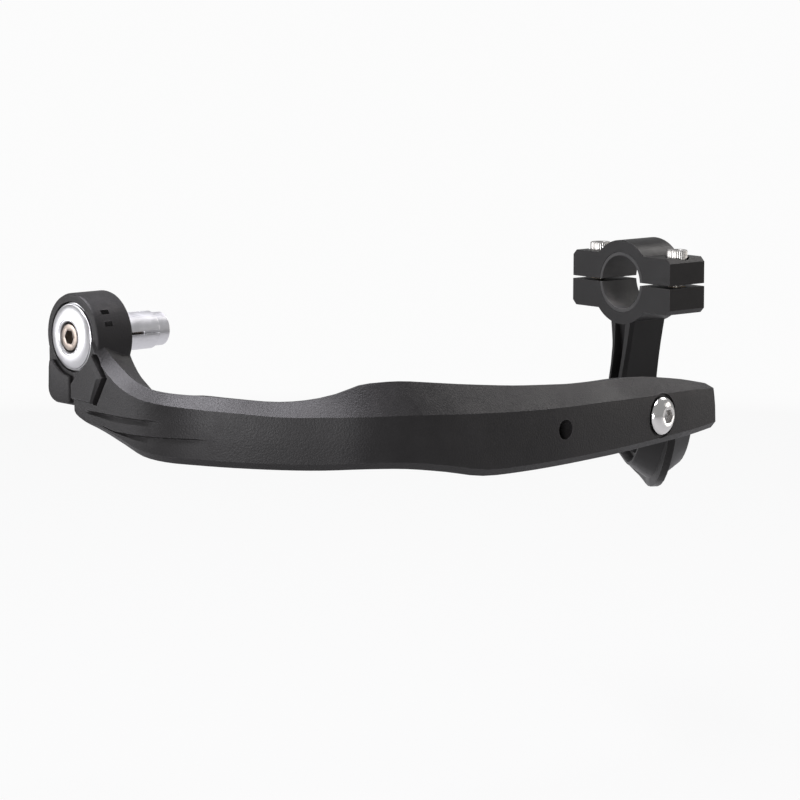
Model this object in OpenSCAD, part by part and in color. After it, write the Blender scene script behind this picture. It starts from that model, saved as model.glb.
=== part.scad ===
// Motorcycle hand guard for the rider's right hand.
// Origin: centre of the handlebar's end plane. X runs inboard along the bar, Y backward, Z up.
// "Reach" is the distance ahead of the bar's axis, so it is -Y.

/* [Handlebar] */
// Outside diameter of the handlebar
bar_d = 22.2; // [21:0.1:25.4]
// Bore of the handlebar's end
bar_bore = 14; // [13.6:0.1:15]

/* [Blade] */
// Distance from the bar's end to the blade's inner end, along the bar
span = 245; // [220:0.5:270]
// Distance of the blade's front from the bar's axis
reach = 104.5; // [95:0.5:120]
// How far the blade's lower edge lies below the bar's axis at its deepest
drop = 50.8; // [48:0.2:56]
// Thickness of the blade's front wall
wall = 4.5; // [3.6:0.1:5.5]
// Thickness of the two flanges behind the front wall
flange = 3; // [2.4:0.1:4]
// Depth of the channel from the front face to the flanges' rear edges
channel = 15; // [14.6:0.1:18]
// Chamfer along the lower front edge
chin = 2.6; // [1.5:0.1:3.5]
// Thickness of the ribs across the channel
rib_t = 2.2; // [1.6:0.1:3]
// How much the front face is crowned between its edges
crown = 0.3; // [0.1:0.1:0.8]
// Depth of the two steps moulded in the outer lower corner
step_depth = 1.1; // [0.6:0.1:1.6]

/* [Collar] */
// Wall of the collar round the bar
collar_wall = 4.8; // [4.2:0.1:6.5]
// Length of the collar along the bar
collar_w = 16; // [14:0.2:20]
// Clearance of the collar's bore on the bar, on the radius
collar_fit = 0.1; // [0.05:0.05:0.3]
// Width of the split between the jaws
split_w = 1.4; // [1:0.1:2.2]
// How far the rear jaw hangs below the bar's axis
jaw_drop = 25; // [24:0.2:28]
// Height of the raised pads on the jaws' outer faces
pad_h = 1.2; // [0.8:0.1:1.8]
// Depth of the groove that frees the front pad from the blade
relief_depth = 5; // [2:0.2:6]

/* [Bar end plug] */
// Diameter of the end disc
disc_d = 25; // [24:0.2:27]
// Thickness of the end disc at its middle
disc_t = 3.5; // [3:0.1:5]
// Length of the split sleeve in the bar
sleeve_l = 28; // [24:0.5:36]
// Slope of the two cones, as radius lost for each millimetre of length
cone_slope = 0.17; // [0.14:0.01:0.2]

/* [Blade screw] */
// Thread diameter of the screw through blade and arm
screw_d = 8; // [6:1:8]
// Diameter of its button head
screw_head_d = 15; // [12:0.5:16]
// Diameter of the bush in the blade
bush_d = 12; // [11:0.2:13]
// Diameter of the shield's hole
shield_hole_d = 7.5; // [4:0.5:9]

/* [Arm] */
// Width of the arm
arm_w = 20; // [18:0.5:24]
// Height of the arm
arm_h = 15; // [13:0.5:18]
// Height of the rib under the arm
keel_h = 3.4; // [2.4:0.2:6]
// Width of that rib
keel_w = 4; // [3:0.1:6]
// Depth of the channels in the arm's sides
arm_recess = 3.4; // [1.5:0.1:4.5]
// How far the arm's run lies below the bar's axis
arm_drop = 68; // [62:0.5:76]
// Distance of the bar clamp's middle from the bar's end
clamp_x = 286; // [278:0.5:300]

/* [Bar clamp] */
// Width of the clamp along the bar
clamp_w = 20; // [16:0.5:26]
// Thickness of the rubber liner
liner_t = 1.4; // [1:0.1:2]
// Wall of the clamp round the liner
clamp_wall = 5; // [4:0.1:7]
// Thickness of the clamp's ears
ear_t = 11; // [10:0.2:14]
// Gap between the clamp's halves
clamp_gap = 1.2; // [0.8:0.1:2]
// Thread diameter of the clamp's and the collar's screws
small_screw_d = 5; // [4:1:6]

/* [Hidden] */
$fn = 64;

// Clearance between pieces that lie against each other
fit = 0.1;
// Overshoot of cuts
over = 0.5;
// Play of a screw in its hole, on the radius
hole_play = 0.2;
washer_t = 1;

// Collar and jaws
bar_r = bar_d / 2;
collar_r = bar_r + collar_fit + collar_wall;
collar_x = -1.8;
blade_x = -3;
disc_r = disc_d / 2;
disc_gap = 0.5;
split_y = -2.2;
pinch_z = -(bar_r + collar_fit + 7.6);
pinch_x = collar_x + collar_w / 2;
pinch_head_d = 1.7 * small_screw_d;
pinch_head_h = small_screw_d;
pinch_seat_y = 9.2;
pinch_bolt_l = 20.5;
pinch_nut_y = 9;
jaw_rear_y = collar_r - 1.6;

// Corners of the front pad, as reach and height, the first two on the split
pad = [[0.9, -22.4], [0.9, -17.2], [13.9, -5.3], [20.4, -12.8], [14.2, -22.9]];
pad_top = [[1.3, -21.9], [1.3, -17.6], [12.6, -7.6], [17.9, -13.4], [13.6, -22.3]];
relief_w = 1.9;

// Bar end plug
sleeve_r = bar_bore / 2;
sleeve_r_in = sleeve_r - 1.9;
sleeve_x = 5;
slot_w = 1;
taper_l = 6;
rise = taper_l * cone_slope;
disc_screw_d = 6;
disc_screw_r = disc_screw_d / 2;
disc_head_d = 10;
disc_seat_x = 2.9;
spigot_l = sleeve_x - 0.4;
cone_r = sleeve_r_in + 0.95;
nut_back = 5;

// Blade: each row holds the place along the bar as a share of span, the reach as a share of
// reach, the heights of the crest, the face's top edge and the lower edge as shares of drop,
// and the top bevel's depth, the channel's depth beyond the named one and the inner floor
neck_extra = collar_x + collar_w - 0.2 - blade_x - channel;
solid_n = channel + neck_extra - 1.6;
blade_rows = [
    [blade_x / span, 0.001, 0.190, 0.160, -0.478, 1.0, neck_extra, solid_n],
    [blade_x / span, 0.027, 0.185, 0.155, -0.550, 1.2, neck_extra, solid_n],
    [blade_x / span, 0.086, 0.157, 0.128, -0.595, 2.0, neck_extra, solid_n],
    [blade_x / span, 0.144, -0.030, -0.083, -0.624, 3.8, neck_extra, solid_n],
    [blade_x / span, 0.201, -0.150, -0.196, -0.657, 5.8, neck_extra, 11],
    [-0.012, 0.287, -0.250, -0.299, -0.712, 6.3, 0.9 * neck_extra, wall],
    [-0.008, 0.383, -0.303, -0.362, -0.775, 6.4, 0.65 * neck_extra, wall],
    [0.006, 0.478, -0.323, -0.390, -0.802, 6.5, 0.25 * neck_extra, wall],
    [0.035, 0.574, -0.335, -0.413, -0.815, 6.5, 0, wall],
    [0.078, 0.668, -0.358, -0.439, -0.833, 6.5, 0, wall],
    [0.130, 0.761, -0.382, -0.470, -0.850, 6.5, 0, wall],
    [0.179, 0.842, -0.358, -0.476, -0.858, 7.0, 0, wall],
    [0.233, 0.928, -0.272, -0.478, -0.854, 8.5, 0, wall],
    [0.295, 0.981, -0.260, -0.482, -0.870, 9.0, 0, wall],
    [0.365, 1.000, -0.295, -0.504, -0.921, 9.0, 0, wall],
    [0.439, 1.000, -0.339, -0.528, -0.988, 9.0, 0, wall],
    [0.522, 0.997, -0.382, -0.551, -1.000, 8.5, 0, wall],
    [0.604, 0.986, -0.413, -0.565, -0.998, 8.5, 0, wall],
    [0.666, 0.971, -0.433, -0.571, -0.994, 8.0, 0, wall],
    [0.728, 0.952, -0.445, -0.579, -0.990, 8.0, 0, wall],
    [0.790, 0.930, -0.451, -0.589, -0.982, 7.5, 0, wall],
    [0.843, 0.909, -0.472, -0.594, -0.974, 7.0, 0, wall],
    [0.926, 0.869, -0.531, -0.606, -0.965, 5.5, 0, wall],
    [1.000, 0.828, -0.598, -0.630, -0.945, 4.0, 0, wall]];
blade_end = len(blade_rows) - 1;
slices = 3;
screw_t = 21;
screw_z = -0.758 * drop;
hole_t = 17;
hole_z = -0.73 * drop;
crest_fall = 1;
neck_fall = 2.8;
rib_places = [6.3, 7.5, 8.7, 9.9, 11.1, 12.2, 13.3, 14.3, 15.3, 16.3, 18.2];
screw_sink = 1.2;
insert_wall = 1.2;
boss_l = channel - 2.5;
end_slant = 5;

// Places of the steps in the outer lower corner: height, first and last row, as they run
steps = [[-25.6, 2.1, 6.9], [-31.4, 3.7, 8.3]];
step_lip = 0.7;

// Tongue of the arm in the blade's channel
tongue_t = 19.4;
tongue_front = wall + 0.4;
tongue_rear = channel - 0.4;

// Arm: each row holds x, reach, height, heading, pitch, width, height of section,
// depth of the side channels and height of the keel
run_h = -arm_drop;
clamp_r = bar_r + liner_t + clamp_wall;
tongue_mid = (tongue_front + tongue_rear) / 2;
leave_t = 21.6;
leave_z = -0.79 * drop;
leave = blade_point(leave_t, tongue_mid, leave_z);
root_w = tongue_rear - tongue_front - 1;
arm_rows = [
    [leave[0], -leave[1], leave_z, heading(leave_t), 0, root_w, 8, 0, 0],
    [leave[0] + 9, -leave[1] - 4, leave_z, 24, 0, root_w + 1, 8.6, 0, 0],
    [leave[0] + 17.5, -leave[1] - 11.5, leave_z + 1.2, 46, -6, 13.5, 9, 0.6, 0],
    [leave[0] + 26.5, -leave[1] - 21, leave_z - 7, 56, -44, arm_w - 2, arm_h - 1.5, 2, keel_h / 2],
    [leave[0] + 32.5, -leave[1] - 31, (leave_z + run_h) / 2 - 5.5, 57, -48, arm_w, arm_h,
        arm_recess, keel_h],
    [leave[0] + 39.5, -leave[1] - 43, run_h + 0.5, 60, -12, arm_w, arm_h, arm_recess, keel_h],
    [clamp_x - 12, 16, run_h, 64, 0, arm_w, arm_h, arm_recess, keel_h],
    [clamp_x - 3.5, -1, run_h + 5, 74, 45, arm_w, arm_h, arm_recess, keel_h],
    [clamp_x, -5.5, run_h + 19, 84, 80, arm_w, arm_h, arm_recess, keel_h],
    [clamp_x, -3, -(clamp_r + 12), 90, 92, clamp_w, arm_h, arm_recess, 3],
    [clamp_x, -2, -(clamp_r - 3), 90, 90, clamp_w, arm_h + 4, 1, 0.6]];
arm_slices = 4;

// Bar clamp
ear_y = clamp_r + 5.2;
ear_end = ear_y + 6;
clamp_head_d = 1.7 * small_screw_d;
insert_r = 0.75 * small_screw_d;
insert_l = ear_t - 2;
clamp_sink = 3;

// Smooth curve through rows of values
function row_at(rows, t) =
    let (n = len(rows) - 1, i = max(0, min(floor(t), n - 1)), k = t - i)
    let (a = rows[max(i - 1, 0)], b = rows[i], c = rows[i + 1], d = rows[min(i + 2, n)])
    0.5 * (2 * b + k * (c - a) + k * k * (2 * a - 5 * b + 4 * c - d)
        + k * k * k * (3 * b - 3 * c + d - a));

// Direction in which the blade's face runs, in degrees from X
function heading(t) =
    let (d = row_at(blade_rows, min(t + 0.05, blade_end)) - row_at(blade_rows, max(t - 0.05, 0)))
    atan2(-d[1] * reach, d[0] * span);

// Point behind the blade's face by n, at height z
function blade_point(t, n, z) =
    let (r = row_at(blade_rows, t), h = heading(t))
    [r[0] * span - n * sin(h), -r[1] * reach + n * cos(h), z];

// Heights and depths of the blade's section: crest, edge, lower edge, bevel, depth, floor
function crest(t) = row_at(blade_rows, t)[2] * drop;
function edge(t) = row_at(blade_rows, t)[3] * drop;
function lower(t) = row_at(blade_rows, t)[4] * drop;
function bevel(t) = row_at(blade_rows, t)[5];
function depth(t) = channel + row_at(blade_rows, t)[6];
function floor_n(t) = row_at(blade_rows, t)[7];
function fall(t) = crest_fall + neck_fall * row_at(blade_rows, t)[6];
function under_crest(t) = min(edge(t) - 2, crest(t) - fall(t) - flange);

// Depth of one moulded step at place t, faded in and out at its ends
function step_at(s, t) =
    step_depth * max(0, min(1, (t - s[1]) * 2.5, (s[2] - t) * 2.5));

function blade_outline(t) =
    let (zc = crest(t), ze = edge(t), zb = lower(t), b = bevel(t), d = depth(t), w = floor_n(t))
    let (c = min(chin, 0.6 + chin * max(0, t - 2) / 4), back = zc - fall(t))
    let (g1 = max(min(steps[0][0], ze - 0.6), zb + c + 3))
    let (g2 = max(min(steps[1][0], g1 - 1.8), zb + c + 1))
    let (w2 = min(w + 2, d - 0.4))
    let (tail1 = 0.42 * (g1 - g2), tail2 = 0.42 * (g2 - zb - c))
    let (low = zb + c, mid = (ze + low) / 2, half = (ze - low) / 2)
    let (face = function(z, n) [n + crown * pow((z - mid) / half, 2), z])
    [face(ze, 0), [b, zc], [d, back], [d, back - flange],
        [max(w2, b), back - flange], [w, under_crest(t)],
        [w, zb + flange + 2], [w2, zb + flange], [d, zb + flange], [d, zb], [c, zb],
        face(low, 0), face(g2 - tail2, 0),
        face(g2 - min(step_lip, tail2 / 2), step_at(steps[1], t)), face(g2, 0),
        face(g1 - tail1, 0), face(g1 - min(step_lip, tail1 / 2), step_at(steps[0], t)),
        face(g1, 0)];

// Solid through a list of rings with as many points each
module loft(rings) {
    n = len(rings[0]);
    m = len(rings);
    polyhedron(
        points = [for (r = rings) each r],
        faces = concat(
            [[for (i = [0:n - 1]) n - 1 - i]],
            [[for (i = [0:n - 1]) (m - 1) * n + i]],
            [for (j = [0:m - 2], i = [0:n - 1]) [j * n + i, j * n + (i + 1) % n, (j + 1) * n + i]],
            [for (j = [0:m - 2], i = [0:n - 1])
                [j * n + (i + 1) % n, (j + 1) * n + (i + 1) % n, (j + 1) * n + i]]));
}

// How much the blade's inner end leans back at height z
function lean(t, z) = end_slant * max(0, t - blade_end + 1) * (1 + z / drop);

// Ring of an outline at place t of the blade
function blade_ring(t, outline) =
    [for (p = outline) blade_point(t, p[0], p[1]) - [lean(t, p[1]), 0, 0]];

module blade_shell() {
    loft([for (k = [0:blade_end * slices]) blade_ring(k / slices, blade_outline(k / slices))]);
}

// Outline of a rib that fills the channel at place t
function rib_outline(t) =
    let (w = wall - 0.6, d = channel - 3, u = crest(t) - fall(t) - flange + 0.5)
    [[w, under_crest(t) + 0.5], [max(wall + 2, bevel(t)), u], [d, u],
        [d, lower(t) + flange - 0.5], [w, lower(t) + flange - 0.5]];

module blade_rib(t) {
    step = norm(blade_point(t + 0.1, 0, 0) - blade_point(t - 0.1, 0, 0)) / 0.2;
    half = rib_t / 2 / step;
    loft([for (s = [-half, half]) blade_ring(t + s, rib_outline(t))]);
}

// Turns and moves its children to the blade: X runs along it, Y goes inwards, Z is up
module on_blade(t, z) {
    translate(blade_point(t, 0, z)) rotate([0, 0, heading(t)]) children();
}

// Round bar along X, from x = a to x = b
module rod(r, a, b) {
    translate([a, 0, 0]) rotate([0, 90, 0]) cylinder(r = r, h = b - a);
}

// Round bar along Y, from y = a to y = b
module rod_y(r, a, b) {
    translate([0, a, 0]) rotate([-90, 0, 0]) cylinder(r = r, h = b - a);
}

// Flat shape given as reach and height, standing from x = a to x = b
module plate(points, a, b) {
    translate([a, 0, 0]) rotate([90, 0, 90]) linear_extrude(b - a)
        polygon([for (p = points) [-p[0], p[1]]]);
}

module collar_ring() {
    e = 1.2;
    translate([collar_x, 0, 0]) rotate([90, 0, 90]) rotate_extrude($fn = 96)
        polygon([[bar_r - 1, 0], [collar_r - e, 0], [collar_r - 0.35, 0.35], [collar_r, e],
            [collar_r, collar_w - e], [collar_r - 0.35, collar_w - 0.35],
            [collar_r - e, collar_w], [bar_r - 1, collar_w]]);
}

// Corner points of the rear jaw, with its lower rear corner rounded
rear_jaw = concat(
    [[1.5, -8], [-jaw_rear_y, -5]],
    [for (a = [180:15:270]) [-jaw_rear_y + 5 + 5 * cos(a), -jaw_drop + 5 + 5 * sin(a)]],
    [[1.5, -jaw_drop]]);

// Face of the rear pad, which follows the disc above and the jaw below
rear_pad = concat(
    [[-1.3, -jaw_drop + 0.7]],
    [for (a = [270:-15:180]) [-jaw_rear_y + 5.7 + 5 * cos(a), -jaw_drop + 5.7 + 5 * sin(a)]],
    [[-12.9, -9.6], [-8.4, -14.9], [-1.3, -16.8]]);
rear_mid = [-jaw_rear_y / 2, -jaw_drop * 0.72];
rear_pad_top = [for (p = rear_pad) rear_mid + (p - rear_mid) * 0.92];

// Raised pad with a bevelled edge, from its foot to its smaller top
module raised_pad(foot, top, x) {
    loft([for (k = [[foot, x + over], [foot, x - pad_h * 0.35], [top, x - pad_h]])
        [for (p = k[0]) [k[1], -p[0], p[1]]]]);
}

module relief_groove() {
    shift = [relief_w * 1.3, 0];
    line = [pad[2] + [-0.55, 0.5], pad[3] - [0.12, 0], pad[4] - [0.4, 0.5]];
    plate([line[0], line[1], line[2], line[2] + shift, line[1] + shift, line[0] + shift],
        blade_x - pad_h - over, blade_x + relief_depth);
}

module guard_blade() color("#3b3b3f") {
    difference() {
        union() {
            difference() {
                blade_shell();
                translate([blade_x - 1, split_y + split_w / 2, -drop])
                    cube([channel + neck_extra + 2, 2 * collar_r, 2 * drop]);
            }
            collar_ring();
            plate(rear_jaw, collar_x, collar_x + collar_w);
            raised_pad(pad, pad_top, blade_x);
            raised_pad(rear_pad, rear_pad_top, collar_x);
            hole_boss();
            for (t = rib_places) blade_rib(t);
        }
        rod(bar_r + collar_fit, collar_x - 5, collar_x + collar_w + over);
        rod(disc_r + disc_gap, collar_x - 5, 0);
        translate([0, split_y, -(bar_r - 1)]) mirror([0, 0, 1])
            translate([collar_x - 5, 0, 0]) cube([collar_w + 10, split_w, jaw_drop]);
        relief_groove();
        pinch_holes();
        collar_pockets();
        on_blade(screw_t, screw_z) {
            rod_y(bush_d / 2 + fit, -3, channel + over);
            rod_y(screw_head_d / 2 + 1.2, -3, screw_sink);
        }
        on_blade(hole_t, hole_z) rod_y(shield_hole_d / 2, -over, boss_l - 1.5);
    }
}

// Boss behind the face for a shield's screw
module hole_boss() {
    on_blade(hole_t, hole_z) rod_y(shield_hole_d / 2 + 2, wall - 0.5, boss_l);
}

// Screw hole through both jaws, head seat in the rear one and nut slot in the front one
module pinch_holes() {
    translate([pinch_x, 0, pinch_z]) {
        rod_y(small_screw_d / 2 + hole_play, -13.5, pinch_seat_y + over);
        rod_y(pinch_head_d / 2 + 0.5, pinch_seat_y, collar_r + over);
        nut_w = 1.6 * small_screw_d + 2 * fit;
        nut_t = 0.8 * small_screw_d + 2 * fit;
        translate([-nut_w / 2, -pinch_nut_y - nut_t / 2, -nut_w / 2])
            cube([collar_w, nut_t, nut_w]);
    }
}

// Two small pockets in the collar's front
module collar_pockets() {
    for (a = [21, 38])
        rotate([-a, 0, 0]) translate([collar_x + 4, -collar_r - 1, -0.9]) cube([3.4, 2.4, 1.8]);
}

// Socket-head screw along Y: the seat of its head is at y = 0, the shank goes to y = -l
module socket_screw(d, head_d, head_h, l) {
    difference() {
        union() {
            rod_y(head_d / 2, 0, head_h - 0.4);
            translate([0, head_h - 0.4, 0]) rotate([-90, 0, 0])
                cylinder(r1 = head_d / 2, r2 = head_d / 2 - 0.4, h = 0.4);
            rod_y(d / 2 - fit, -l, 0);
        }
        translate([0, head_h * 0.45, 0]) rotate([-90, 30, 0])
            cylinder(d = d * 0.96, h = head_h, $fn = 6);
    }
}

module ring_y(r, hole, a, b) {
    difference() {
        rod_y(r, a, b);
        rod_y(hole, a - over, b + over);
    }
}

module end_disc() color("#d9dadc") {
    profile = concat(
        [[disc_screw_r + hole_play, disc_seat_x], [disc_head_d / 2 + 0.6, disc_seat_x],
            [disc_head_d / 2 + 0.6, -disc_t + 0.3], [disc_head_d / 2 + 0.9, -disc_t]],
        [for (a = [0.55:0.15:1]) [disc_r * a - 0.4 * (a == 1 ? 1 : 0), -disc_t + 0.9 * a * a * a]],
        [[disc_r, -disc_t + 1.3], [disc_r, -0.3], [disc_r - 0.3, 0], [sleeve_r, 0],
            [sleeve_r, spigot_l], [cone_r, spigot_l], [cone_r - rise, spigot_l + taper_l],
            [disc_screw_r + hole_play, spigot_l + taper_l]]);
    rotate([90, 0, 90]) rotate_extrude($fn = 96) polygon(profile);
}

module disc_bolt() color("#a79c8e") {
    translate([disc_seat_x, 0, 0]) rotate([0, 0, 90])
        socket_screw(disc_screw_d, disc_head_d, disc_screw_d, sleeve_l + 8);
}

// Split sleeve with a taper in each end
module expander_sleeve() color("#b9bcc0") {
    difference() {
        translate([sleeve_x, 0, 0]) rotate([90, 0, 90]) rotate_extrude($fn = 96)
            polygon([[sleeve_r_in + rise, 0], [sleeve_r - 0.2, 0], [sleeve_r, 0.4],
                [sleeve_r, sleeve_l - 0.4], [sleeve_r - 0.2, sleeve_l],
                [sleeve_r_in + rise, sleeve_l], [sleeve_r_in, sleeve_l - taper_l],
                [sleeve_r_in, taper_l]]);
        for (a = [0, 90])
            rotate([a, 0, 0])
                translate([sleeve_x + 4 * (a == 0 ? 1 : -1), -sleeve_r - 1, -slot_w / 2])
                cube([sleeve_l, 2 * sleeve_r + 2, slot_w]);
    }
}

module cone_nut() color("#9fa3a8") {
    top = sleeve_r_in + rise - fit;
    translate([sleeve_x + sleeve_l, 0, 0]) rotate([90, 0, 90]) rotate_extrude($fn = 96)
        polygon([[disc_screw_r, -taper_l], [top - rise, -taper_l], [top, 0], [top + 0.2, 0.6],
            [top + 0.2, nut_back], [disc_screw_r, nut_back]]);
}

module pinch_bolt() color("#8d9095") {
    translate([pinch_x, pinch_seat_y + washer_t, pinch_z])
        socket_screw(small_screw_d, pinch_head_d, pinch_head_h, pinch_bolt_l);
}

module pinch_washer() color("#9fa3a8") {
    translate([pinch_x, pinch_seat_y, pinch_z]) ring_y(pinch_head_d / 2 + 0.3,
        small_screw_d / 2 + hole_play, 0, washer_t);
}

module pinch_nut() color("#9fa3a8") {
    w = 1.6 * small_screw_d;
    t = 0.8 * small_screw_d;
    translate([pinch_x, -pinch_nut_y, pinch_z]) difference() {
        translate([-w / 2, -t / 2, -w / 2]) cube([w, t, w]);
        rod_y(small_screw_d / 2, -t, t);
    }
}

// Button-head screw through the blade's bush into the arm's insert
module blade_bolt() color("#d5d6d8") {
    on_blade(screw_t, screw_z) {
        head_h = 3.9;
        difference() {
            union() {
                translate([0, screw_sink, 0]) rotate([90, 0, 0]) rotate_extrude()
                    polygon(concat([[0, 0], [screw_head_d / 2, 0]],
                        [for (a = [10:10:60]) [screw_head_d / 2 * cos(a) / cos(10),
                            0.4 + (head_h - 0.4) * (sin(a) - sin(10)) / (sin(60) - sin(10))]],
                        [[0, head_h]]));
                rod_y(screw_d / 2 - fit, screw_sink, tongue_rear - 0.6);
            }
            translate([0, screw_sink - head_h - over, 0]) rotate([-90, 0, 0])
                cylinder(d = 5.9, h = 2.6 + over, $fn = 6);
        }
    }
}

module blade_bush() color("#9fa3a8") {
    on_blade(screw_t, screw_z)
        ring_y(bush_d / 2, screw_d / 2 + hole_play, screw_sink, tongue_front - fit);
}

module blade_insert() color("#b08d4f") {
    on_blade(screw_t, screw_z)
        ring_y(screw_d / 2 + insert_wall, screw_d / 2, tongue_front + fit, tongue_rear - 0.3);
}

// Tongue of the arm that fills the channel behind the blade's inner end
function tongue_outline(t) =
    let (top = crest(t) - fall(t) - flange - 0.5, low = lower(t) + flange + 0.4)
    let (front_top = min(under_crest(t) - 0.4, top - 0.5))
    [[tongue_front, low + 1.5], [tongue_front + 1.5, low], [tongue_rear, low],
        [tongue_rear, top], [max(wall + 2, bevel(t)) + 0.8, top], [tongue_front, front_top]];

module arm_tongue() {
    n = 11;
    loft([for (k = [0:n]) let (t = tongue_t + (blade_end - tongue_t) * k / n)
        blade_ring(t, [for (i = [5:-1:0]) tongue_outline(t)[i]])]);
}

// Section of the arm: width w, height h, side channels r deep and a keel k high
function arm_outline(w, h, r, k) =
    let (a = w / 2, b = h / 2, q = keel_w / 2, v = min(5.8, h / 2.6), m = r * 0.45)
    [[-a + 1.4, b], [-a, b - 1.4], [-a, b * 0.56], [-a + r, b * 0.56 - m], [-a + r, -b * 0.1 + m],
        [-a, -b * 0.1], [-a, -b + v], [-q, -b], [-q + 0.5, -b - k], [q - 0.5, -b - k], [q, -b],
        [a, -b + v], [a, -b * 0.1], [a - r, -b * 0.1 + m], [a - r, b * 0.56 - m],
        [a, b * 0.56], [a, b - 1.4], [a - 1.4, b]];

function arm_ring(t) =
    let (q = row_at(arm_rows, t), c = [q[0], -q[1], q[2]])
    let (s = [sin(q[3]), -cos(q[3]), 0])
    let (d = [cos(q[3]) * cos(q[4]), sin(q[3]) * cos(q[4]), sin(q[4])])
    let (u = cross(s, d))
    [for (p = arm_outline(q[5], q[6], q[7], q[8])) c + s * p[0] + u * p[1]];

module arm_beam() {
    n = (len(arm_rows) - 1) * arm_slices;
    loft([for (k = [0:n]) arm_ring(k / arm_slices)]);
}

// One half of the bar clamp above the bar, seen along X
module clamp_half() {
    t0 = ear_t + clamp_gap / 2;
    translate([clamp_x - clamp_w / 2, 0, 0]) rotate([90, 0, 90]) linear_extrude(clamp_w)
        difference() {
            union() {
                intersection() {
                    circle(clamp_r, $fn = 96);
                    translate([-clamp_r, clamp_gap / 2]) square([2 * clamp_r, clamp_r]);
                }
                polygon([[-ear_end, clamp_gap / 2], [ear_end, clamp_gap / 2],
                    [ear_end, t0 - 2], [ear_end - 2, t0], [-ear_end + 2, t0],
                    [-ear_end, t0 - 2]]);
            }
            circle(bar_r + liner_t + fit / 2, $fn = 96);
        }
}

module mounting_arm() color("#26262a") {
    difference() {
        union() {
            arm_tongue();
            arm_beam();
            mirror([0, 0, 1]) clamp_half();
        }
        on_blade(screw_t, screw_z)
            rod_y(screw_d / 2 + insert_wall + fit / 2, tongue_front - 1, tongue_rear + 1);
        for (s = [-1, 1])
            translate([clamp_x, s * ear_y, -clamp_gap / 2 - insert_l - 1])
                cylinder(r = insert_r + fit / 2, h = insert_l + 2);
    }
}

module clamp_cap() color("#26262a") {
    difference() {
        clamp_half();
        for (s = [-1, 1]) translate([clamp_x, s * ear_y, 0]) {
            translate([0, 0, -1]) cylinder(r = small_screw_d / 2 + hole_play, h = ear_t + 5);
            translate([0, 0, clamp_gap / 2 + ear_t - clamp_sink])
                cylinder(d = clamp_head_d + 1.4, h = 5);
        }
    }
}

// Screw, washer and insert of the clamp, at side s
module clamp_bolt(s) {
    translate([clamp_x, s * ear_y, clamp_gap / 2 + ear_t - clamp_sink + washer_t])
        rotate([90, 0, 0])
        socket_screw(small_screw_d, clamp_head_d, small_screw_d, ear_t + insert_l - 2);
}

module clamp_washer(s) {
    translate([clamp_x, s * ear_y, clamp_gap / 2 + ear_t - clamp_sink]) rotate([90, 0, 0])
        ring_y(clamp_head_d / 2 + 0.4, small_screw_d / 2 + hole_play, 0, washer_t);
}

module clamp_insert(s) {
    translate([clamp_x, s * ear_y, -clamp_gap / 2 - insert_l]) rotate([90, 0, 0])
        ring_y(insert_r, small_screw_d / 2, 0, insert_l);
}

module clamp_bolt_front() color("#8d9095") clamp_bolt(-1);
module clamp_bolt_rear() color("#8d9095") clamp_bolt(1);
module clamp_washer_front() color("#9fa3a8") clamp_washer(-1);
module clamp_washer_rear() color("#9fa3a8") clamp_washer(1);
module clamp_insert_front() color("#b08d4f") clamp_insert(-1);
module clamp_insert_rear() color("#b08d4f") clamp_insert(1);

// Rubber half shell round the bar
module liner_half(side) {
    translate([clamp_x, 0, 0]) difference() {
        rod(bar_r + liner_t, -clamp_w / 2, clamp_w / 2);
        rod(bar_r, -clamp_w / 2 - over, clamp_w / 2 + over);
        translate([-clamp_w, -2 * bar_r, side > 0 ? clamp_gap / 2 - 4 * bar_r : -clamp_gap / 2])
            cube([2 * clamp_w, 4 * bar_r, 4 * bar_r]);
    }
}

module clamp_liner_lower() color("#1c1c1e") liner_half(-1);
module clamp_liner_upper() color("#1c1c1e") liner_half(1);

guard_blade();
end_disc();
disc_bolt();
expander_sleeve();
cone_nut();
pinch_bolt();
pinch_washer();
pinch_nut();
blade_bolt();
blade_bush();
blade_insert();
mounting_arm();
clamp_cap();
clamp_bolt_front();
clamp_bolt_rear();
clamp_washer_front();
clamp_washer_rear();
clamp_insert_front();
clamp_insert_rear();
clamp_liner_lower();
clamp_liner_upper();
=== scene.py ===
"""Motorcycle hand guard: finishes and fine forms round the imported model, in metres."""
import math

import bpy
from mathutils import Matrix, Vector


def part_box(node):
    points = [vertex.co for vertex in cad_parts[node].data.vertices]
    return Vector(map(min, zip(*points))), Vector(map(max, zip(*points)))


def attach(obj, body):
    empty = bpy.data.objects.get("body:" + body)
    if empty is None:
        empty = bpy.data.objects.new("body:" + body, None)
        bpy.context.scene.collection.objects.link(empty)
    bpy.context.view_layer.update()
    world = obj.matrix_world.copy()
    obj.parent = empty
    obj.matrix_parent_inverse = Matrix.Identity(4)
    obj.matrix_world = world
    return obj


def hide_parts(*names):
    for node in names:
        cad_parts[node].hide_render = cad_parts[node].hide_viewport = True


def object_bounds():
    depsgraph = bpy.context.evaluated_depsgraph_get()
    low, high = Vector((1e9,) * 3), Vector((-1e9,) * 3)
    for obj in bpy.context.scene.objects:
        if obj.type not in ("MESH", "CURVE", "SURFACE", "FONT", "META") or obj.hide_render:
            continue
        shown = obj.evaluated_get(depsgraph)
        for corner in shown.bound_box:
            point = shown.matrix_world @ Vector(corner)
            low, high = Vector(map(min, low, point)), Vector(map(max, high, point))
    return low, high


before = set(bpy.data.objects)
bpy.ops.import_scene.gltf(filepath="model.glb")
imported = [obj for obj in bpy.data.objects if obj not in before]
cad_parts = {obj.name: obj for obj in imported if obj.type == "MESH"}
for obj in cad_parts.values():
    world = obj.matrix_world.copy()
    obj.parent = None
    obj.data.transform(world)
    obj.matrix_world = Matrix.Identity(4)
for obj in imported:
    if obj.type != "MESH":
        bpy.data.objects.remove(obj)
cad_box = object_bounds()
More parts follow.
